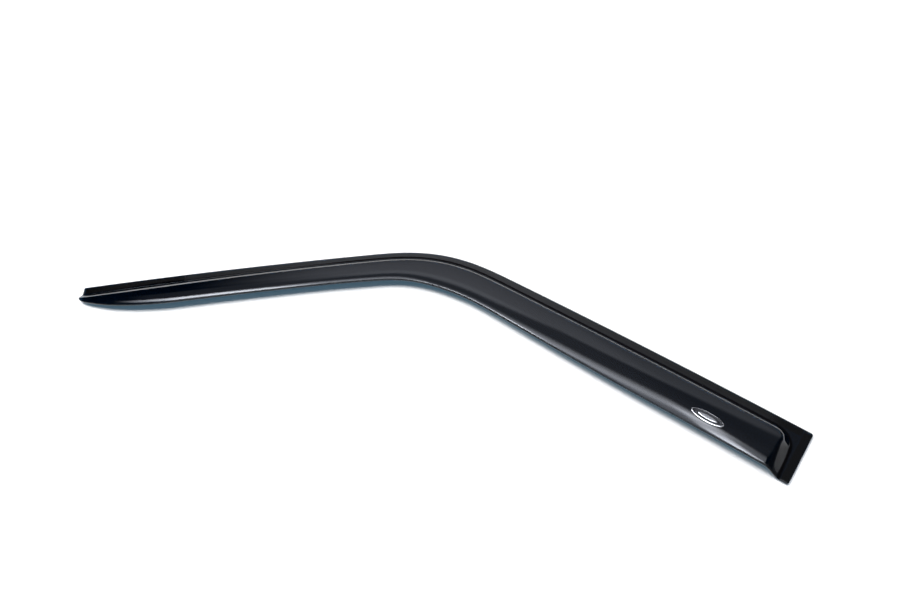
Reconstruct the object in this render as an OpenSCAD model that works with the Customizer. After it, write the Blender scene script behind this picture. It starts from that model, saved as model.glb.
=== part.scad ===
// Window rain deflector for the front left door of a car, lying on its adhesive side.
// One smoked acrylic moulding: a flat flange with foam tape under it, a step, and a
// convex blade that stands off the window and tapers to a nose at the front end.
// Sizes are in millimetres. X runs along the roof edge towards the rear end of the door,
// Y points up the door, Z points away from it, and the film under the tape lies on Z = 0.

/* [Outline] */
// Length of the top edge along the roof, from the rear corner to the bend
roof_len = 359; // [300:1:420]
// Length of the top edge round the bend
bend_len = 192; // [150:1:240]
// Length of the top edge along the pillar, from the bend to the front end
pillar_len = 352; // [280:1:420]
// Angle that the top edge turns through in the bend
bend_angle = 39.5; // [25:0.5:48]
// Angle that the roof stretch bows through
roof_bow = 2.2; // [0:0.1:5]
// Angle that the pillar stretch bows through
pillar_bow = 3.3; // [0:0.1:6]
// Lean of the rear end from square
rear_lean = 3; // [0:0.1:9]
// Radius of the two corners at the rear end
rear_corner_r = 2.5; // [1:0.25:5]
// Radius of the flange corner at the front end
front_corner_r = 1.5; // [0.5:0.25:4]

/* [Flange and step] */
// Thickness of the acrylic
wall = 2.5; // [2:0.1:3]
// Width of the flat flange along the top edge
flange_w = 11; // [10:0.5:14]
// How much narrower that flange is past the bend
flange_waist = 2.7; // [0:0.1:3]
// Width of the flat flange at the rear end, by the lower edge
rear_flange_w = 10.5; // [9:0.5:14]
// Lean of the step at the rear end, which widens the flange towards the top edge
rear_step_lean = 3; // [0:0.5:5]
// Width of the sloped step, on the roof stretch
roof_step_w = 7.6; // [7:0.1:10]
// Width of the sloped step, on the pillar
pillar_step_w = 9; // [7:0.1:10]
// Width of the sloped step at the rear end
rear_step_w = 13.5; // [12:0.5:18]
// Radius of the inner corner, at the foot of the step
step_corner_r = 20; // [16:1:26]
// Softness of the crease where the step meets the blade
crease_blend = 1.4; // [1:0.1:3]
// Softness of the shoulder above the step at the rear end
shoulder_blend = 4; // [2:0.5:8]
// Softness of the hollow at the foot of the step
foot_blend = 1.8; // [1:0.1:3]
// Softness of that hollow at the rear end
rear_foot_blend = 2.4; // [1:0.1:3]

/* [Blade] */
// Width from the top edge to the lower edge, at the rear end
rear_w = 65.5; // [58:0.5:76]
// Width from the top edge to the lower edge, on the pillar
pillar_w = 48.5; // [42:0.5:56]
// Extra width of the blade inside the bend
bend_swell = 3; // [0:0.25:5]
// Height of the crease above the flange, on the roof stretch
roof_crease_h = 7.5; // [6:0.25:9.5]
// Height of the crease above the flange, on the pillar
pillar_crease_h = 6.5; // [5:0.25:8]
// Height of the lower edge above the flange, on the roof stretch
roof_edge_h = 10.5; // [8:0.25:13]
// Height of the lower edge above the flange, on the pillar
pillar_edge_h = 9.5; // [7:0.25:12]
// Rise of the convex blade over a straight line, on the roof stretch
roof_crown = 4.2; // [2:0.1:6]
// Rise of the convex blade over a straight line, on the pillar
pillar_crown = 3.2; // [2:0.1:5]

/* [Nose] */
// Length over which the blade narrows to the nose
nose_len = 125; // [90:1:150]
// Distance of the nose from the top edge
nose_w = 16.5; // [15:0.5:20]
// Distance that the nose stands out past the flange
nose_reach = 3; // [0.5:0.25:4]
// Fullness of the nose, where a higher value makes it slimmer
nose_power = 1.2; // [1:0.1:2]
// Height of the crease and the lower edge above the flange, at the nose
nose_h = 1.2; // [0.8:0.1:2]
// Width of the sloped step at the nose
nose_step_w = 4; // [3:0.1:5]

/* [Tape and liner] */
// Thickness of the foam tape
tape_t = 1; // [0.8:0.1:1.5]
// Distance of the tape from the edges of the flange
tape_inset = 0.7; // [0.5:0.1:1.5]
// Width of the tape under the flange
tape_w = 7; // [5:0.1:7.5]
// Gap between two lengths of tape
tape_gap = 1.5; // [1:0.5:4]
// Thickness of the release liner
liner_t = 0.12; // [0.08:0.01:0.3]

/* [Badge] */
// Length of the badge
badge_l = 35; // [28:0.5:45]
// Width of the badge
badge_w = 11; // [9:0.5:14]
// Thickness of the badge
badge_t = 1.3; // [1:0.1:2]
// Width of the badge's raised rim
badge_rim = 1; // [0.7:0.1:1.5]
// Depth of the field inside the rim
badge_sink = 0.5; // [0.2:0.1:0.7]
// Length of the raised oval in the middle of the badge
badge_boss_l = 21; // [12:0.5:23]
// Width of that oval
badge_boss_w = 4.2; // [3:0.2:5]
// Distance of the badge's centre from the rear corner, along the top edge
badge_s = 95; // [75:1:200]
// Distance of the badge's centre from the lower edge
badge_edge = 14; // [10:0.5:18]
// Gap of glue between the badge and the blade
badge_glue = 0.12; // [0.1:0.01:0.2]

/* [Hidden] */

acrylic = "#1c2429";
foam = "#17181a";
film = "#b3262b";
metal = "#b9bdc2";

edge_len = roof_len + bend_len + pillar_len;
bend_end = roof_len + bend_len;
nose_start = edge_len - nose_len;
tape_low = liner_t;
tape_top = tape_low + tape_t;
flange_top = tape_top + wall;

// A value from 0 to 1 that starts and ends level, and its limits
function limit(x) = max(0, min(1, x));
function ease(x) = let (t = limit(x)) t * t * (3 - 2 * t);
function mix(a, b, t) = a + (b - a) * t;

// The lower and the higher of two heights, with the corner between them rounded off
function soft_min(a, b, k) = min(a, b) - pow(max(k - abs(a - b), 0), 2) / (4 * k);
function soft_max(a, b, k) = max(a, b) + pow(max(k - abs(a - b), 0), 2) / (4 * k);

// Heading of the top edge at the distance s from the rear corner. It is level in the
// middle of the roof stretch, eases round the bend and bows a little on the pillar.
function heading(s) = roof_bow * (0.5 - limit(s / roof_len))
    - bend_angle * ease((s - roof_len) / bend_len)
    - pillar_bow * max(0, s - bend_end) / pillar_len;

// Points of the top edge, one every millimetre, from the middle of the roof stretch
trace_step = 1;
trace_n = ceil(edge_len / trace_step) + 1;
trace = [for (i = 0, p = [0, 0]; i <= trace_n;
              i = i + 1,
              p = p + trace_step * [-cos(heading((i - 0.5) * trace_step)),
                                    sin(heading((i - 0.5) * trace_step))]) p];
function on_trace(s) = let (x = s / trace_step, i = max(0, min(trace_n - 1, floor(x))))
    mix(trace[i], trace[i + 1], x - i);
trace_zero = on_trace(roof_len / 2);

// Width of the flange, down to the foot of the step. It is narrowest at the waist.
waist_s = bend_end + 10;
waist_half = 350;
function foot_w(s) = flange_w - flange_waist * pow(cos(90 * limit(abs(s - waist_s) / waist_half)), 2);

// A place on the plan: s along the top edge and w square to it, towards the blade.
// Near the rear end the lines of one s lean back, and near the nose they reach forward.
lean_fade = 120;
reach_fade = 25;
function lean(s, w) = w * tan(rear_lean) * (1 - ease(s / lean_fade));
function reach(s, w) = nose_reach * ease((w - foot_w(s)) / (nose_w - foot_w(s)))
    * ease((s - edge_len + reach_fade) / reach_fade);
function place(s, w) = let (h = heading(s), run = lean(s, w) + reach(s, w))
    on_trace(s) - trace_zero + run * [-cos(h), sin(h)] - w * [sin(h), cos(h)]
    + [0, flange_w / 2];

// Distance of the lower edge from the top edge. The blade narrows from the middle of the
// roof stretch to the start of the pillar, and swells a little inside the bend.
narrow_from = 0.42 * roof_len;
narrow_to = bend_end + 0.2 * pillar_len;
swell_s = roof_len + 0.42 * bend_len;
swell_half = 90;
function nose_fall(s) = pow(1 - pow(limit((s - nose_start) / nose_len), 2), nose_power / 2);
function swell(s) = let (x = limit(abs(s - swell_s) / swell_half)) bend_swell * pow(cos(90 * x), 2);
function body_w(s) = mix(rear_w, pillar_w, ease((s - narrow_from) / (narrow_to - narrow_from))) + swell(s);
function blade_w(s) = mix(nose_w, body_w(s), nose_fall(s));

// A size that goes from its value on the roof stretch to its value on the pillar
change_from = 0.7 * roof_len;
function along(s, roof, pillar) = mix(roof, pillar, ease((s - change_from) / (bend_end - change_from)));

// Heights above the flange: the crease, the lower edge and the crown between them
function low_at_nose(s) = sqrt(1 - pow(limit((s - nose_start) / nose_len), 2));
function crease_h(s) = mix(nose_h, along(s, roof_crease_h, pillar_crease_h), low_at_nose(s));
function edge_h(s) = mix(nose_h, along(s, roof_edge_h, pillar_edge_h), low_at_nose(s));
function crown(s) = along(s, roof_crown, pillar_crown) * nose_fall(s);
function step_w(s) = mix(nose_step_w, along(s, roof_step_w, pillar_step_w), low_at_nose(s));
function crease_w(s) = foot_w(s) + step_w(s);

// Height of the convex blade, carried on past the crease so that the step can cut it
function blade_z(s, w) = let (t = (w - crease_w(s)) / (blade_w(s) - crease_w(s)))
    mix(crease_h(s), edge_h(s), t) + 4 * crown(s) * t * (1 - t);

// Distance in from the foot of the step: first at the rear end alone, then along the whole
// flange, with the corner rounded
function from_rear_foot(s, w) = s - rear_flange_w - (rear_w - w) * tan(rear_step_lean);
function from_foot(s, w) = let (a = from_rear_foot(s, w), b = w - foot_w(s), r = step_corner_r)
    (a > r && b > r) ? min(a, b) : r - norm([max(r - a, 0), max(r - b, 0)]);

// The step on the roof side gives way, past the corner, to the one at the rear end, which
// reaches the blade at the same distance from its foot however high the blade stands
function rearward(s, w) = ease((w - foot_w(s) - from_rear_foot(s, w)) / step_corner_r);
function step_slope(s, w) = mix(crease_h(s) / step_w(s), blade_z(s, w) / rear_step_w, rearward(s, w));
function shoulder(s, w) = mix(crease_blend, shoulder_blend, rearward(s, w));
function hollow(s, w) = mix(foot_blend, rear_foot_blend, rearward(s, w));

// Height of the moulding above its flange, at the outer face or at the inner one.
// The inner face starts its step further in, which keeps the wall even on the slope.
function wall_shift(s, w) = wall * tan(atan(step_slope(s, w)) / 2);
function shell_z(s, w, shift) = soft_max(0,
    soft_min((from_foot(s, w) - shift) * step_slope(s, w), blade_z(s, w), shoulder(s, w)), hollow(s, w));
function outer_z(s, w) = flange_top + shell_z(s, w, 0);
function inner_z(s, w) = tape_top + shell_z(s, w, wall_shift(s, w));

// Rows of the mesh along the top edge
function steps(a, b, n) = [for (i = [0 : n - 1]) a + (b - a) * i / n];
rear_start = rear_flange_w - rear_foot_blend;
rear_end = rear_flange_w + rear_step_w + 2 * shoulder_blend + rear_w * tan(rear_step_lean) / 2;
rows = concat(
    [for (a = [0 : 30 : 60]) rear_corner_r * (1 - cos(a))],
    [rear_corner_r],
    steps(rear_start, rear_end, 15),
    steps(rear_end, lean_fade, 5),
    steps(lean_fade, roof_len, 10),
    steps(roof_len, bend_end, 28),
    steps(bend_end, nose_start, 9),
    [for (a = [0 : 7.5 : 82.5]) nose_start + (nose_len - front_corner_r) * sin(a)],
    [for (a = [90 : -30 : 0]) edge_len - front_corner_r * (1 - cos(a))]);

// Corner cuts at the two ends of the top edge and the rear end of the lower edge
function corner_cut(x, r) = r - sqrt(max(0, r * r - pow(max(0, r - x), 2)));
function top_cut(s) = max(corner_cut(s, rear_corner_r), corner_cut(edge_len - s, front_corner_r));
function low_cut(s) = corner_cut(s, rear_corner_r);

// Columns of the mesh, from the top edge to the lower edge. The lower edge is rounded.
edge_r = wall / 2;
edge_round = 0.85;
edge_cols = [1, 0.6, 0.25, 0];
step_cols = 6;
blade_cols = 8;
function columns(s) = let (c = crease_w(s) + crease_blend, b = blade_w(s) - edge_r) concat(
    [0, foot_w(s) / 2, foot_w(s) - foot_blend],
    [for (i = [0 : step_cols - 1]) mix(foot_w(s) - foot_blend / 3, c, i / step_cols)],
    [for (i = [0 : blade_cols - 1]) mix(c, b, i / blade_cols)],
    [for (e = edge_cols) blade_w(s) - edge_r * e]);
function edge_drop(s, w) = let (x = limit((w - blade_w(s) + edge_r) / edge_r))
    edge_round * edge_r * (1 - sqrt(1 - x * x));
function fit_cut(s, w) = let (full = blade_w(s)) mix(top_cut(s), full - low_cut(s), w / full);
function skin(s, w, side) = concat(place(s, fit_cut(s, w)),
    side > 0 ? outer_z(s, w) - edge_drop(s, w) : inner_z(s, w) + edge_drop(s, w));

// The moulding: one closed skin, each row running over the outer face and back inside
module visor() {
    n = len(columns(0));
    m = 2 * n;
    points = [for (s = rows) let (c = columns(s))
        each concat([for (w = c) skin(s, w, 1)], [for (i = [n - 1 : -1 : 0]) skin(s, c[i], -1)])];
    sides = [for (i = [0 : len(rows) - 2], j = [0 : m - 1])
        let (a = i * m + j, b = i * m + (j + 1) % m, c = b + m, d = a + m)
        each [[a, b, c], [a, c, d]]];
    last = (len(rows) - 1) * m;
    ends = [for (j = [0 : n - 2])
        let (a = j, b = j + 1, c = m - 2 - j, d = m - 1 - j)
        each [[a, c, b], [a, d, c], [last + a, last + b, last + c], [last + a, last + c, last + d]]];
    color(acrylic) polyhedron(points, concat(sides, ends));
}

// A flat strip between two distances along the edge and two distances from it
module strip(s0, s1, w0, w1, z0, z1) {
    n = max(2, ceil((s1 - s0) / 8));
    near = [for (i = [0 : n]) place(mix(s0, s1, i / n), w0)];
    far = [for (i = [n : -1 : 0]) place(mix(s0, s1, i / n), w1)];
    translate([0, 0, z0]) linear_extrude(z1 - z0) polygon(concat(near, far));
}

// Where each length of tape starts and ends along the top edge
tape_rear_end = tape_inset + tape_w;
tape_bend_cut = roof_len + 0.15 * bend_len;
tape_pillar_cut = roof_len + 0.85 * bend_len;
tape_rear_cut = tape_inset + rear_corner_r / 2;
module rear_strip(z0, z1) strip(tape_inset, tape_rear_end, tape_rear_cut, rear_w - tape_rear_cut, z0, z1);
module roof_strip(z0, z1) strip(tape_rear_end + tape_gap, tape_bend_cut - tape_gap / 2,
    tape_inset, tape_rear_end, z0, z1);
module bend_strip(z0, z1) strip(tape_bend_cut + tape_gap / 2, tape_pillar_cut - tape_gap / 2,
    tape_inset, tape_rear_end, z0, z1);
module pillar_strip(z0, z1) strip(tape_pillar_cut + tape_gap / 2, edge_len - tape_inset - front_corner_r,
    tape_inset, tape_rear_end, z0, z1);

// Black acrylic foam tape, stuck to the under side of the flange
module tape_rear() { color(foam) rear_strip(tape_low, tape_top); }
module tape_roof() { color(foam) roof_strip(tape_low, tape_top); }
module tape_bend() { color(foam) bend_strip(tape_low, tape_top); }
module tape_pillar() { color(foam) pillar_strip(tape_low, tape_top); }

// Film that covers the adhesive until the deflector is fitted
module liner_rear() { color(film) rear_strip(0, tape_low); }
module liner_roof() { color(film) roof_strip(0, tape_low); }
module liner_bend() { color(film) bend_strip(0, tape_low); }
module liner_pillar() { color(film) pillar_strip(0, tape_low); }

// Plain oval badge, bent to the blade: a raised rim, a sunken field and a raised oval
module badge() {
    ring_n = 32;
    soft = 0.3;
    field_t = badge_t - badge_sink;
    field_l = badge_l - 2 * badge_rim;
    field_w = badge_w - 2 * badge_rim;
    mid_w = blade_w(badge_s) - badge_edge;
    function spot(u, v, z) = concat(place(badge_s + u, mid_w + v),
        outer_z(badge_s + u, mid_w + v) + badge_glue + z);
    function ring(l, w, z) = [for (i = [0 : ring_n - 1]) let (a = 360 * i / ring_n)
        spot(l / 2 * cos(a), w / 2 * sin(a), z)];
    rings = [
        ring(0.35 * badge_l, 0.35 * badge_w, 0),
        ring(0.7 * badge_l, 0.7 * badge_w, 0),
        ring(badge_l, badge_w, 0),
        ring(badge_l, badge_w, badge_t - soft),
        ring(badge_l - soft, badge_w - soft, badge_t),
        ring(field_l + soft, field_w + soft, badge_t),
        ring(field_l, field_w, badge_t - soft),
        ring(field_l - soft, field_w - soft, field_t),
        ring(badge_boss_l + soft, badge_boss_w + soft, field_t),
        ring(badge_boss_l - soft, badge_boss_w - soft, badge_t - soft),
        ring(0.6 * badge_boss_l, 0.6 * badge_boss_w, badge_t)];
    points = concat([for (r = rings) each r], [spot(0, 0, 0), spot(0, 0, badge_t)]);
    low = len(rings) * ring_n;
    top = (len(rings) - 1) * ring_n;
    bands = [for (k = [0 : len(rings) - 2], i = [0 : ring_n - 1])
        let (a = k * ring_n + i, b = k * ring_n + (i + 1) % ring_n)
        each [[a, b + ring_n, b], [a, a + ring_n, b + ring_n]]];
    caps = [for (i = [0 : ring_n - 1]) let (j = (i + 1) % ring_n)
        each [[low, i, j], [low + 1, top + j, top + i]]];
    color(metal) polyhedron(points, concat(bands, caps));
}

visor();
tape_rear();
tape_roof();
tape_bend();
tape_pillar();
liner_rear();
liner_roof();
liner_bend();
liner_pillar();
badge();
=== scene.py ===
"""Looks of a window rain deflector for a front left car door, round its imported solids."""

import math

import bpy
import numpy as np
from mathutils import Matrix, Vector


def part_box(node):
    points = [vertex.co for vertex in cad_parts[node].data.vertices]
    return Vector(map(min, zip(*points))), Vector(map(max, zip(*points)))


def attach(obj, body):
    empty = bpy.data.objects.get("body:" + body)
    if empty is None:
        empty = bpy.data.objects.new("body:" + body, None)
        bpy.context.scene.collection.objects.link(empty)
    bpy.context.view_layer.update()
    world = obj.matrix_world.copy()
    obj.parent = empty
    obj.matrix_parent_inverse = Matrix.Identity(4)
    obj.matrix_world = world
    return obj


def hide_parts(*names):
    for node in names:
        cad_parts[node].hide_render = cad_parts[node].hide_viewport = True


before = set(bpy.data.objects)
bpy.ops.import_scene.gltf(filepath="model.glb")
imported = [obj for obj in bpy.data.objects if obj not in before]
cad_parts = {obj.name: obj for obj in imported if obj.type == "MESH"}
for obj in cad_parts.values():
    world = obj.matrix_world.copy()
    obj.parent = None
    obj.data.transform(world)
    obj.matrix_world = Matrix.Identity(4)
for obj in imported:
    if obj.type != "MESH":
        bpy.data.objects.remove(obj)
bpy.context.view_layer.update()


# The visor. One sheet of smoked acrylic, pressed hot over a mould and trimmed, so its flange,
# step and blade are one skin of even wall. Tape under the flange holds it on the door frame.
# Distances are metres: s runs along the top edge from the rear corner, w square to it.
roof_len = 0.359
bend_len = 0.192
pillar_len = 0.352
bend_angle = math.radians(39.5)
roof_bow = math.radians(2.2)
pillar_bow = math.radians(3.3)
rear_lean = math.radians(3)
lean_fade = 0.120
rear_corner_r = 0.0025
front_corner_r = 0.0015
wall = 0.0025
edge_r = 0.0005

flange_w = 0.011
flange_waist = 0.0027
rear_flange_w = 0.0105
rear_step_lean = math.radians(3)
roof_step_w = 0.0076
pillar_step_w = 0.009
rear_step_w = 0.0135
step_corner_r = 0.020
roof_crease_blend = 0.0014
pillar_crease_blend = 0.0004
shoulder_blend = 0.004
foot_blend = 0.0018
rear_foot_blend = 0.0024

rear_w = 0.0655
pillar_w = 0.0485
bend_swell = 0.003
swell_half = 0.090
roof_crease_h = 0.0075
pillar_crease_h = 0.0065
roof_edge_h = 0.0105
pillar_edge_h = 0.0095
roof_crown = 0.0042
pillar_crown = 0.0032

nose_len = 0.125
nose_w = 0.0165
nose_reach = 0.003
nose_power = 1.2
nose_h = 0.0012
nose_step_w = 0.004
reach_fade = 0.025

edge_len = roof_len + bend_len + pillar_len
bend_end = roof_len + bend_len
nose_start = edge_len - nose_len
narrow_from = 0.42 * roof_len
narrow_to = bend_end + 0.2 * pillar_len
change_from = 0.7 * roof_len
swell_s = roof_len + 0.42 * bend_len
waist_s = bend_end + 0.010
waist_half = 0.350
seat_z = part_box("tape_roof")[1].z


def limit(x):
    """x, held between 0 and 1."""
    return np.clip(x, 0.0, 1.0)


def ease(x):
    """Goes from 0 to 1 and starts and ends level: three squares less two cubes."""
    t = limit(x)
    return t * t * (3 - 2 * t)


def mix(a, b, t):
    """a where t is 0 and b where t is 1, in a straight line between."""
    return a + (b - a) * t


def soft_min(a, b, k):
    """The lower of two heights, less a parabola that rounds their corner over a width k."""
    return np.minimum(a, b) - np.maximum(k - np.abs(a - b), 0) ** 2 / (4 * k)


def soft_max(a, b, k):
    """The higher of two heights, plus the same parabola."""
    return np.maximum(a, b) + np.maximum(k - np.abs(a - b), 0) ** 2 / (4 * k)


def hump(x):
    """A squared cosine: 1 at x = 0, and level at 0 from x = 1."""
    return np.cos(np.pi / 2 * limit(np.abs(x))) ** 2


def heading(s):
    """Heading of the top edge: a slight bow, an eased turn through the bend, then a bow again."""
    turn = bend_angle * ease((s - roof_len) / bend_len)
    bow = roof_bow * (0.5 - limit(s / roof_len))
    return bow - turn - pillar_bow * np.maximum(0, s - bend_end) / pillar_len


trace_step = 0.001
trace_s = np.arange(0, edge_len + 2 * trace_step, trace_step)
trace_turn = heading(trace_s[1:] - trace_step / 2)
trace_x = np.append(0, np.cumsum(-np.cos(trace_turn))) * trace_step
trace_y = np.append(0, np.cumsum(np.sin(trace_turn))) * trace_step
trace_x -= np.interp(roof_len / 2, trace_s, trace_x)
trace_y -= np.interp(roof_len / 2, trace_s, trace_y)


def foot_w(s):
    """Distance of the step's foot: the flange's width, less a squared cosine at its waist."""
    return flange_w - flange_waist * hump((s - waist_s) / waist_half)


def place(s, w):
    """X and Y of a spot: the top edge at s, then w square to it, with a lean back at the rear
    end and a reach forward at the nose."""
    h = heading(s)
    lean = w * math.tan(rear_lean) * (1 - ease(s / lean_fade))
    reach = nose_reach * ease((w - foot_w(s)) / (nose_w - foot_w(s)))
    run = lean + reach * ease((s - edge_len + reach_fade) / reach_fade)
    x = np.interp(s, trace_s, trace_x) - run * np.cos(h) - w * np.sin(h)
    y = np.interp(s, trace_s, trace_y) + run * np.sin(h) - w * np.cos(h)
    return x, y + flange_w / 2


def along(s, roof, pillar):
    """A size that eases from its value on the roof stretch to the one on the pillar."""
    return mix(roof, pillar, ease((s - change_from) / (bend_end - change_from)))


def at_nose(s):
    return limit((s - nose_start) / nose_len)


def low_at_nose(s):
    """A quarter of an ellipse, from 1 where the nose starts to 0 at the front end."""
    return np.sqrt(1 - at_nose(s) ** 2)


def blade_w(s):
    """Distance of the lower edge: it narrows from roof to pillar, swells in the bend and
    runs out in the nose."""
    body = mix(rear_w, pillar_w, ease((s - narrow_from) / (narrow_to - narrow_from)))
    body = body + bend_swell * hump((s - swell_s) / swell_half)
    return mix(nose_w, body, (1 - at_nose(s) ** 2) ** (nose_power / 2))


def crease_h(s):
    """Height of the crease over the flange, which sinks along the nose's ellipse."""
    return mix(nose_h, along(s, roof_crease_h, pillar_crease_h), low_at_nose(s))


def edge_h(s):
    """Height of the lower edge over the flange, which sinks in the same way."""
    return mix(nose_h, along(s, roof_edge_h, pillar_edge_h), low_at_nose(s))


def step_w(s):
    """Width of the step from foot to crease, which narrows in the same way."""
    return mix(nose_step_w, along(s, roof_step_w, pillar_step_w), low_at_nose(s))


def crease_w(s):
    """Distance of the crease: the foot's, and the step's width."""
    return foot_w(s) + step_w(s)


def crease_blend(s):
    """Width of the crease's rounding, which is sharper on the pillar."""
    return along(s, roof_crease_blend, pillar_crease_blend)


def blade_z(s, w):
    """Height of the convex blade: a straight line from crease to lower edge plus a parabola."""
    t = (w - crease_w(s)) / (blade_w(s) - crease_w(s))
    crown = along(s, roof_crown, pillar_crown) * (1 - at_nose(s) ** 2) ** (nose_power / 2)
    return mix(crease_h(s), edge_h(s), t) + 4 * crown * t * (1 - t)


def from_rear_foot(s, w):
    """Distance in from the foot of the step at the rear end, a line that leans forward."""
    return s - rear_flange_w - (rear_w - w) * math.tan(rear_step_lean)


def from_foot(s, w):
    """Distance in from the foot of the step, which turns a rounded corner at the rear end."""
    a = from_rear_foot(s, w)
    b = w - foot_w(s)
    from_centre = np.hypot(np.maximum(step_corner_r - a, 0), np.maximum(step_corner_r - b, 0))
    turned = step_corner_r - from_centre
    return np.where((a > step_corner_r) & (b > step_corner_r), np.minimum(a, b), turned)


def rearward(s, w):
    """0 on the roof side of the corner's diagonal, and 1 on the step at the rear end."""
    return ease(((w - foot_w(s)) - from_rear_foot(s, w)) / step_corner_r)


def step_slope(s, w):
    """Rise over run: even on the roof side, and at the rear end as steep as the blade is high."""
    return mix(crease_h(s) / step_w(s), blade_z(s, w) / rear_step_w, rearward(s, w))


def shell_h(s, w, shift):
    """Height above the flange: the step's slope, cut off softly by the blade and let softly
    into the flange. shift starts the slope further in, for the inner face."""
    rise = (from_foot(s, w) - shift) * step_slope(s, w)
    back = rearward(s, w)
    return soft_max(0, soft_min(rise, blade_z(s, w), mix(crease_blend(s), shoulder_blend, back)),
                    mix(foot_blend, rear_foot_blend, back))


def outer_z(s, w):
    """The outer face: the seat on the tape, the wall and the shell's height over it."""
    return seat_z + wall + shell_h(s, w, 0)


def inner_z(s, w):
    """The inner face: the slope starts further in by the wall times the tangent of half its
    angle, which keeps the wall even."""
    return seat_z + shell_h(s, w, wall * np.tan(np.arctan(step_slope(s, w)) / 2))


def round_over(distance, width, height):
    """Drop of a rounded edge at a distance from it: the gap over a quarter of an ellipse."""
    x = limit(1 - distance / width)
    return height * (1 - np.sqrt(1 - x * x))


def stretches(*parts):
    """Positions along the edge, from (start, end, count) stretches that share their ends."""
    return np.concatenate([np.linspace(a, b, n, endpoint=False) for a, b, n in parts])


def corner_cut(x, r):
    """How far a corner of radius r draws in the outline, at a distance x from the end."""
    return r - np.sqrt(np.maximum(0, r * r - np.maximum(0, r - x) ** 2))


# The grid: rows along the edge and columns square to it, closest together where the skin turns.
turn = np.linspace(0, np.pi / 2, 6)
end_round = edge_r * (1 - np.cos(turn))
rear_foot_s = rear_flange_w - foot_blend
corner_end = 0.040
row_s = np.concatenate([
    end_round,
    stretches((2 * edge_r, rear_foot_s, 10), (rear_foot_s, corner_end, 48), (corner_end, lean_fade, 28),
              (lean_fade, roof_len, 56), (roof_len, bend_end, 64), (bend_end, nose_start, 52)),
    nose_start + (nose_len - 3 * edge_r) * np.sin(np.linspace(0, np.pi / 2, 56)),
    edge_len - end_round[::-1],
])
S = row_s[:, None]
full_w = blade_w(S)
low_edge_w = wall / 2
low_edge_h = 0.85 * low_edge_w
least_blade = 0.001
blade_from = np.minimum(crease_w(S) + roof_crease_blend, full_w - low_edge_w - least_blade)
columns = [
    (0 * S, 0 * S + edge_r, 1 - np.cos(turn[:-1])),
    (0 * S + edge_r, foot_w(S) - foot_blend, np.linspace(0, 1, 7)[:-1]),
    (foot_w(S) - foot_blend, foot_w(S) + foot_blend, np.linspace(0, 1, 9)[:-1]),
    (foot_w(S) + foot_blend, crease_w(S) - roof_crease_blend, np.linspace(0, 1, 6)[:-1]),
    (crease_w(S) - roof_crease_blend, blade_from, np.linspace(0, 1, 13)[:-1]),
    (blade_from, full_w - low_edge_w, np.linspace(0, 1, 49)[:-1]),
    (full_w - low_edge_w, full_w, np.sin(np.linspace(0, np.pi / 2, 9))),
]
W = np.hstack([mix(a, b, t[None, :]) for a, b, t in columns])
top_cut = np.maximum(corner_cut(S, rear_corner_r), corner_cut(edge_len - S, front_corner_r))
fit_w = mix(top_cut, full_w - corner_cut(S, rear_corner_r), W / full_w)
drop = np.maximum(round_over(np.minimum(W, np.minimum(S, edge_len - S)), edge_r, edge_r),
                  round_over(full_w - W, low_edge_w, low_edge_h))
sheet_x, sheet_y = place(S, fit_w)
outer = np.stack([sheet_x, sheet_y, outer_z(S, fit_w) - drop], axis=-1)
inner = np.stack([sheet_x, sheet_y, inner_z(S, fit_w) + drop], axis=-1)
ring = np.concatenate([outer, inner[:, ::-1]], axis=1)
ring_w = np.concatenate([W, W[:, ::-1]], axis=1)
ring_n = ring.shape[1]


def closed_rows(rows, cols):
    """Faces between rows of points that each close on themselves, as arrays of four."""
    i = np.arange(rows - 1)[:, None] * cols
    j = np.arange(cols)[None, :]
    k = (j + 1) % cols
    return np.stack([i + j, i + cols + j, i + cols + k, i + k], axis=-1).reshape(-1, 4)


def new_piece(name, points, faces):
    """A smooth mesh object at the origin, from arrays of points and of faces."""
    mesh = bpy.data.meshes.new(name)
    mesh.from_pydata(points.reshape(-1, 3).tolist(), [], [f.tolist() for f in faces])
    mesh.polygons.foreach_set("use_smooth", np.ones(len(mesh.polygons), bool))
    mesh.update()
    piece = bpy.data.objects.new(name, mesh)
    bpy.context.scene.collection.objects.link(piece)
    return piece


def set_uv(piece, name, u, v):
    """A UV map that gives each corner of a face the u and v of its point."""
    corner = np.zeros(len(piece.data.loops), np.int32)
    piece.data.loops.foreach_get("vertex_index", corner)
    uv = np.stack([u.ravel()[corner], v.ravel()[corner]], axis=-1)
    piece.data.uv_layers.new(name=name).data.foreach_set("uv", uv.astype(np.float32).ravel())


def set_value(piece, name, value):
    """A number at each point, which a material reads by this name."""
    made = piece.data.attributes.new(name, "FLOAT", "POINT")
    made.data.foreach_set("value", value.astype(np.float32).ravel())


j = np.arange(ring_n // 2 - 1)
far = ring_n - 1 - j
last = (len(row_s) - 1) * ring_n
rear_cap = np.stack([j, j + 1, far - 1, far], axis=-1)
front_cap = last + np.stack([j, far, far - 1, j + 1], axis=-1)
faces = np.concatenate([closed_rows(len(row_s), ring_n), rear_cap, front_cap])
visor = new_piece("moulded_visor", ring, faces)
set_uv(visor, "sheet", np.broadcast_to(S, ring_w.shape), ring_w)

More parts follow.
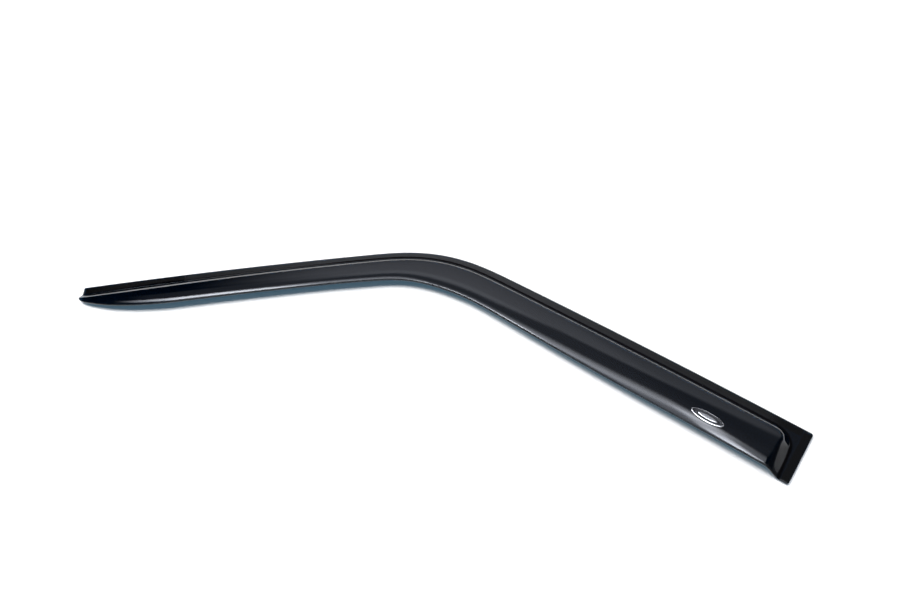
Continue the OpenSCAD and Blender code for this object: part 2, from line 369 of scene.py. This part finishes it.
# Two values on the outer face: where the flange is satin, short of its ends, and where shade is
# painted: a dark line along the foot of the step and, by less than half, on the rear step.
satin_from = 0.018
satin_to = 0.800
satin_fade = 0.030
# The painted shade is a dark line at the foot of the step, fading out before the nose, and a lesser
# share on the rear step, which darkens what that step mirrors.
heel_in = 0.0002
heel_half = 0.0027
heel_to = 0.760
heel_fade = 0.260
painted_step_shade = 0.45
step_in = from_foot(S, fit_w)
on_flange = ease(-step_in / foot_blend)
on_flange = on_flange * ease((S - satin_from) / satin_fade) * ease((satin_to - S) / satin_fade)
painted_heel_shade = hump((step_in - heel_in) / heel_half) * ease((heel_to - S) / heel_fade)
on_step = ease(step_in / rear_foot_blend + 0.5) * ease((rear_step_w - step_in) / shoulder_blend + 1)
painted_shade = np.maximum(painted_heel_shade, painted_step_shade * rearward(S, fit_w) * on_step)
for name, value in (("satin", on_flange), ("painted_shade", painted_shade)):
    set_value(visor, name, np.concatenate([value, 0 * value], axis=1))


class Wire:
    """One output of a shader node. An expression on it adds the Math nodes that work it out."""

    def __init__(self, recipe, socket):
        self.recipe = recipe
        self.socket = socket

    def math(self, operation, first, second):
        return self.recipe.add("Math", {"operation": operation}, {0: first, 1: second})

    def __add__(self, other):
        return self.math("ADD", self, other)

    def __sub__(self, other):
        return self.math("SUBTRACT", self, other)

    def __rsub__(self, other):
        return self.math("SUBTRACT", other, self)

    def __mul__(self, other):
        return self.math("MULTIPLY", self, other)

    __radd__ = __add__
    __rmul__ = __mul__

    def lowest(self, other):
        return self.math("MINIMUM", self, other)

    def highest(self, other):
        return self.math("MAXIMUM", self, other)

    def ramp(self, low, high, start=0.0, end=1.0):
        """Goes smoothly from start at low to end at high, and stays level outside them."""
        return self.recipe.add("MapRange", {"interpolation_type": "SMOOTHSTEP"},
                               {"Value": self, "From Min": low, "From Max": high,
                                "To Min": start, "To Max": end})


class Recipe:
    """The shader nodes of one finish, or of the surroundings."""

    def __init__(self, owner):
        owner.use_nodes = True
        self.nodes = owner.node_tree.nodes
        self.links = owner.node_tree.links
        self.nodes.clear()

    def add(self, kind, settings=None, sockets=None, out=0):
        """A node of that kind. Its settings are made first, then its sockets."""
        node = self.nodes.new("ShaderNode" + kind)
        for name, value in (settings or {}).items():
            setattr(node, name, value)
        for name, value in (sockets or {}).items():
            if isinstance(value, Wire):
                self.links.new(value.socket, node.inputs[name])
            else:
                node.inputs[name].default_value = value
        return Wire(self, node.outputs[out]) if node.outputs else node

    def noise(self, where, scale, detail=2.0):
        """Noise between 0 and 1 on a vector, with a scale for each of its directions."""
        spread = self.add("Mapping", None, {"Vector": where, "Scale": scale})
        return self.add("TexNoise", None, {"Vector": spread, "Scale": 1.0, "Detail": detail})

    def seen(self):
        """1 on a path from the camera, straight or by a mirror or a clear wall, and 0 otherwise."""
        straight, mirrored, passed = [
            self.add("LightPath", out=f"Is {way} Ray") for way in ("Camera", "Glossy", "Transmission")]
        return (straight + mirrored + passed).lowest(1.0)

    def blend_colour(self, amount, first, second):
        """The first colour where the amount is 0 and the second where it is 1."""
        return self.add("Mix", {"data_type": "RGBA"}, {"Factor": amount, 6: first, 7: second}, out=2)


# The acrylic is a deep grey-blue tint, polished on the blade, with fine lines from the mould
# along the satin flange. Shade is painted in as a dark line in the inner corner of the step and
# a duller rear step. seen_through is what the wall shows of a thing close behind it, and
# let_through the light that it throws beyond.
seen_through = (0.008, 0.022, 0.042)
let_through = (0.004, 0.040, 0.068)
painted_shade_black = (0.003, 0.003, 0.0035)
ripple_h = 0.00003
acrylic = bpy.data.materials.new("smoked_acrylic")
mat = Recipe(acrylic)
sheet = mat.add("UVMap", {"uv_map": "sheet"})
flange = mat.add("Attribute", {"attribute_name": "satin"}, out="Fac")
dark = mat.add("Attribute", {"attribute_name": "painted_shade"}, out="Fac")
grain = mat.noise(sheet, (500, 4000, 1), 3.0)
cloud = mat.noise(sheet, (26, 70, 1), 4.0)
polished = cloud.ramp(0.3, 0.7, 0.035, 0.06)
satin = grain.ramp(0.3, 0.7, 0.28, 0.36)
relief = mat.add("Bump", None, {
    "Strength": 1.0, "Distance": 1.0, "Height": flange * grain * ripple_h + cloud * ripple_h})
smoke = mat.add("BsdfPrincipled", None, {
    "Base Color": (*seen_through, 1), "Roughness": polished + flange * (satin - polished),
    "IOR": 1.49, "Transmission Weight": 1.0, "Normal": relief})
# Painted shade: a matte black, mixed in by the painted-shade value, for the dark line at the foot of
# the step and the duller rear step.
painted_shade_bsdf = mat.add("BsdfPrincipled", None, {
    "Base Color": (*painted_shade_black, 1), "Roughness": 0.9, "Specular IOR Level": 0.0})
smoke = mat.add("MixShader", None, {0: dark.ramp(0.0, 0.8), 1: smoke, 2: painted_shade_bsdf})
straight = mat.add("BsdfTransparent", None, {"Color": (*np.sqrt(let_through), 1)})
for which in ("Is Diffuse Ray", "Is Shadow Ray"):
    lit = mat.add("LightPath", out=which)
    smoke = mat.add("MixShader", None, {0: lit, 1: smoke, 2: straight})
mat.add("OutputMaterial", None, {"Surface": smoke})
visor.data.materials.append(acrylic)
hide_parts("visor")
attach(visor, "root")


# The foam tapes. Four lengths of black acrylic foam, die cut to the flange, which stick the
# moulding to the painted frame of the door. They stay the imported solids.
foam_dark = (0.016, 0.016, 0.018)
foam_pale = (0.030, 0.030, 0.032)
foam = bpy.data.materials.new("foam_tape")
mat = Recipe(foam)
spot = mat.add("TexCoord", out="Object")
cells = mat.noise(spot, (2600, 2600, 2600), 2.0)
patches = mat.noise(spot, (60, 60, 60), 2.0)
pores = mat.add("Bump", None, {"Strength": 0.6, "Distance": 0.0001, "Height": cells})
tint = mat.blend_colour(patches, (*foam_dark, 1), (*foam_pale, 1))
matte = mat.add("BsdfPrincipled", None, {
    "Base Color": tint, "Roughness": cells.ramp(0.3, 0.7, 0.75, 0.95), "Normal": pores})
mat.add("OutputMaterial", None, {"Surface": matte})
for name in ("tape_rear", "tape_roof", "tape_bend", "tape_pillar"):
    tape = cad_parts[name]
    tape.data.materials.clear()
    tape.data.materials.append(foam)


# The release films. Red polyester film on the sticky side of each tape, peeled off when the
# deflector is fitted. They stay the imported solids.
film_deep = (0.50, 0.028, 0.036)
film_bright = (0.64, 0.050, 0.056)
film = bpy.data.materials.new("release_film")
mat = Recipe(film)
spot = mat.add("TexCoord", out="Object")
ripple = mat.noise(spot, (140, 140, 140), 3.0)
streak = mat.noise(spot, (30, 900, 30), 2.0)
tint = mat.blend_colour(ripple.ramp(0.3, 0.7), (*film_deep, 1), (*film_bright, 1))
creases = mat.add("Bump", None, {"Strength": 0.5, "Distance": 0.0003, "Height": ripple})
satin = mat.add("BsdfPrincipled", None, {
    "Base Color": tint, "Roughness": streak.ramp(0.3, 0.7, 0.22, 0.34), "Normal": creases})
mat.add("OutputMaterial", None, {"Surface": satin})
for name in ("liner_rear", "liner_roof", "liner_bend", "liner_pillar"):
    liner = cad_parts[name]
    liner.data.materials.clear()
    liner.data.materials.append(film)


# The badge. A plain oval plate of plated plastic, glued to the blade and bent to its curve: a
# polished rim and raised oval round a dark, sunken field, which sits a little high, so that the
# rim is broadest below.
badge_l = 0.035
badge_w = 0.011
badge_t = 0.0013
badge_rim = 0.001
badge_sink = 0.0005
badge_rise = 0.0005
boss_l = 0.021
boss_w = 0.0042
badge_s = 0.095
badge_edge = 0.014
badge_glue = 0.00012
badge_soft = 0.0003
plating = (0.78, 0.79, 0.81)
field_grey = (0.035, 0.037, 0.041)
spokes = np.linspace(0, 2 * np.pi, 128, endpoint=False)


def oval(length, width, height, rise=0.0):
    """One ring of the badge: an ellipse on the blade, at a height above it, moved up by rise."""
    s = badge_s + length / 2 * np.cos(spokes)
    w = blade_w(badge_s) - badge_edge - rise + width / 2 * np.sin(spokes)
    x, y = place(s, w)
    return np.stack([x, y, outer_z(s, w) + badge_glue + height], axis=-1)


def rounded(length, width, high, rise, inside):
    """Rings that turn a soft corner from a wall up to a level, or down if inside."""
    back = badge_soft * (1 - np.cos(turn))
    lift = badge_soft * np.sin(turn)
    side = -1 if inside else 1
    return [oval(length - 2 * side * b, width - 2 * side * b, high - badge_soft + u, rise)
            for b, u in zip(back, lift)]


field_t = badge_t - badge_sink
field_l = badge_l - 2 * badge_rim
field_w = badge_w - 2 * badge_rim
rings = [oval(0.5 * badge_l * k, 0.5 * badge_w * k, 0) for k in (0.02, 1, 2)]
rings += rounded(badge_l, badge_w, badge_t, 0.0, False)
rings += rounded(field_l, field_w, badge_t, badge_rise, True)[::-1]
field_from = len(rings)
rings += [oval(field_l, field_w, field_t, badge_rise),
          oval(0.5 * (field_l + boss_l), 0.5 * (field_w + boss_w), field_t, badge_rise / 2),
          oval(boss_l, boss_w, field_t)]
field_to = len(rings)
rings += rounded(boss_l, boss_w, badge_t, 0.0, False)
rings += [oval(boss_l * k, boss_w * k, badge_t) for k in (0.7, 0.4, 0.02)]
rings = np.array(rings)
cap = np.arange(len(spokes))
top = cap + (len(rings) - 1) * len(spokes)
walls = closed_rows(len(rings), len(spokes))[:, ::-1]
badge = new_piece("oval_badge", rings, [*walls, cap[::-1], top])
sunk = np.zeros(rings.shape[:2])
sunk[field_from:field_to] = 1
set_value(badge, "sunk", sunk)
plate = bpy.data.materials.new("badge_metal")
mat = Recipe(plate)
spot = mat.add("TexCoord", out="Object")
sunk = mat.add("Attribute", {"attribute_name": "sunk"}, out="Fac").ramp(0.4, 0.6)
haze = mat.noise(spot, (700, 700, 700), 3.0)
tint = mat.blend_colour(sunk, (*plating, 1), (*field_grey, 1))
shine = haze.ramp(0.3, 0.7, 0.10, 0.18)
metal = mat.add("BsdfPrincipled", None, {
    "Base Color": tint, "Metallic": 1 - 0.4 * sunk, "Roughness": shine + 0.2 * sunk})
mat.add("OutputMaterial", None, {"Surface": metal})
badge.data.materials.append(plate)
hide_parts("badge")
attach(badge, "root")


# The floor. A white board that runs on under the whole view and keeps the shadow. Its glow is
# only seen and lights nothing, and far from the part it rises, so that the board has no edge.
# ahead and across are the level directions away from the camera and to its right.
ahead = np.array([-0.606, 0.7955, 0])
across = np.array([0.7955, 0.606, 0])
middle = np.array([-0.21, -0.10, 0])
half = 4.0
under = -0.0001
glow = 0.04
glow_from = 0.9
glow_to = 2.0
corners = [(-half, -half, under), (half, -half, under), (half, half, under), (-half, half, under)]
floor = new_piece("floor", np.array(corners), np.array([[0, 1, 2, 3]]))
board = bpy.data.materials.new("white_board")
mat = Recipe(board)
spot = mat.add("TexCoord", out="Object")
away = mat.add("VectorMath", {"operation": "DISTANCE"}, {0: spot, 1: tuple(middle)}, out="Value")
seen_glow = mat.seen() * away.ramp(glow_from, glow_to, glow, 1.0)
matte = mat.add("BsdfPrincipled", None, {
    "Base Color": (0.95, 0.95, 0.95, 1), "Roughness": 0.9, "Specular IOR Level": 0.0,
    "Emission Color": mat.blend_colour(seen_glow, (0, 0, 0, 1), (1, 1, 1, 1)),
    "Emission Strength": 1.0})
mat.add("OutputMaterial", None, {"Surface": matte})
floor.data.materials.append(board)


# The light. One wide softbox overhead lights the part and the floor. What the polished acrylic
# mirrors is the room, painted on the world by direction. The camera itself sees plain white.
softbox = bpy.data.lights.new("softbox", "AREA")
softbox.shape = "RECTANGLE"
softbox.size = 2.72
softbox.size_y = 2.4
softbox.energy = 162
key = bpy.data.objects.new("softbox", softbox)
key_at = Vector(middle - 1.2 * across + 0.75 * ahead + np.array([0, 0, 3.2]))
key.matrix_world = Matrix.Translation(key_at) @ Matrix(
    (across, ahead, (0, 0, 1))).transposed().to_4x4()
key.visible_camera = False
key.visible_glossy = False
key.visible_transmission = False
bpy.context.scene.collection.objects.link(key)

world = bpy.data.worlds.new("studio")
bpy.context.scene.world = world
sky = Recipe(world)
toward = sky.add("TexCoord", out="Generated")
far = sky.add("VectorMath", {"operation": "DOT_PRODUCT"}, {0: toward, 1: tuple(ahead)}, out="Value")
right = sky.add("VectorMath", {"operation": "DOT_PRODUCT"}, {0: toward, 1: tuple(across)}, out="Value")
up = sky.add("VectorMath", {"operation": "DOT_PRODUCT"}, {0: toward, 1: (0, 0, 1)}, out="Value")

# far, right and up are how much of a direction lies along ahead, along across and straight up.
# Each thing in the room is its brightness, times ramps that bound and shade it along these. The
# backdrop shows on the flange and the upper blade, and what is overhead on the lower blade,
# where the tube and the flare make the two highlights.
backdrop_low, backdrop_rise = 0.21, 1.2
left = right + 0.55 * far.lowest(0.72)
backdrop = (backdrop_low + backdrop_rise * up.highest(0.0)) * left.ramp(-0.05, 0.22)
backdrop = backdrop * (far - 0.5 * right.lowest(0.19)).ramp(0.46, 0.55)
backdrop = backdrop * right.ramp(0.38, 0.5, 1.0, 0.8) * right.ramp(0.66, 0.74, 1.0, 0.0)

ceiling_level = 0.38
ceiling = ceiling_level * far.ramp(0.66, 0.56) * far.ramp(-0.05, 0.2)
ceiling = ceiling * right.ramp(-0.56, -0.48) * right.ramp(-0.5, -0.2, 0.4, 1.0)
ceiling = ceiling * right.ramp(0.1, 0.5, 1.0, 0.5) * right.ramp(0.6, 0.75, 1.0, 0.1)

overhead_level = 5.2
overhead = overhead_level * far.ramp(0.31, 0.12) * far.ramp(-0.7, -0.3)
overhead = overhead * far.ramp(0.04, 0.14, 0.38, 1.0)
overhead = overhead * right.ramp(-0.45, -0.30) * right.ramp(0.25, 0.18)

tube_ends = 5.0, 15.0
slant = right - 0.375 * far
tube = far.ramp(0.08, -0.06, *tube_ends) * far.ramp(0.20, 0.12) * far.ramp(-0.17, -0.11)
tube = tube * slant.ramp(0.045, 0.09) * slant.ramp(0.155, 0.115)

flare_level = 14.0
ridge = far + 0.4 * right
flare = flare_level * ridge.ramp(0.13, 0.03) * ridge.ramp(-0.09, -0.03)
flare = flare * right.ramp(-0.62, -0.34) * right.ramp(-0.17, -0.27)

side_level = 0.32
side = side_level * right.ramp(0.5, 0.7) * up.ramp(0.14, 0.06)
back_level = 0.5
back = back_level * far.ramp(-0.25, -0.5) * right.ramp(0.7, 0.5) * up.ramp(0.0, 0.5, 0.4, 1.0)
room = backdrop + ceiling + overhead + tube + flare + side + back

camera_path = sky.add("LightPath", out="Is Camera Ray")
soft_path = sky.add("LightPath", out="Is Diffuse Ray")
strength = (room * (1 - soft_path) + glow * soft_path) * (1 - camera_path) + camera_path
cool = sky.blend_colour(camera_path, (0.97, 1.0, 1.09, 1), (1, 1, 1, 1))
shell = sky.add("Background", None, {"Color": cool, "Strength": strength})
sky.add("OutputWorld", None, {"Surface": shell})


# The camera. It stands where the photograph was taken from. tilt is how far it looks down, and
# roll how far it is turned about its own line of sight.
camera_at = (0.0459, -0.3987, 0.5839)
tilt = math.radians(54.03)
roll = math.radians(-2.94)
level = Vector(across)
forward = Vector(ahead) * math.cos(tilt) - Vector((0, 0, math.sin(tilt)))
upright = Vector(ahead) * math.sin(tilt) + Vector((0, 0, math.cos(tilt)))
axis_x = level * math.cos(roll) + upright * math.sin(roll)
axis_y = upright * math.cos(roll) - level * math.sin(roll)
lens = bpy.data.cameras.new("camera")
lens.lens = 23.65
lens.sensor_width = 36
lens.clip_start = 0.01
camera = bpy.data.objects.new("camera", lens)
camera.matrix_world = Matrix.Translation(camera_at) @ Matrix(
    (axis_x, axis_y, -forward)).transposed().to_4x4()
bpy.context.scene.collection.objects.link(camera)
bpy.context.scene.camera = camera
bpy.context.scene.view_settings.view_transform = "Standard"
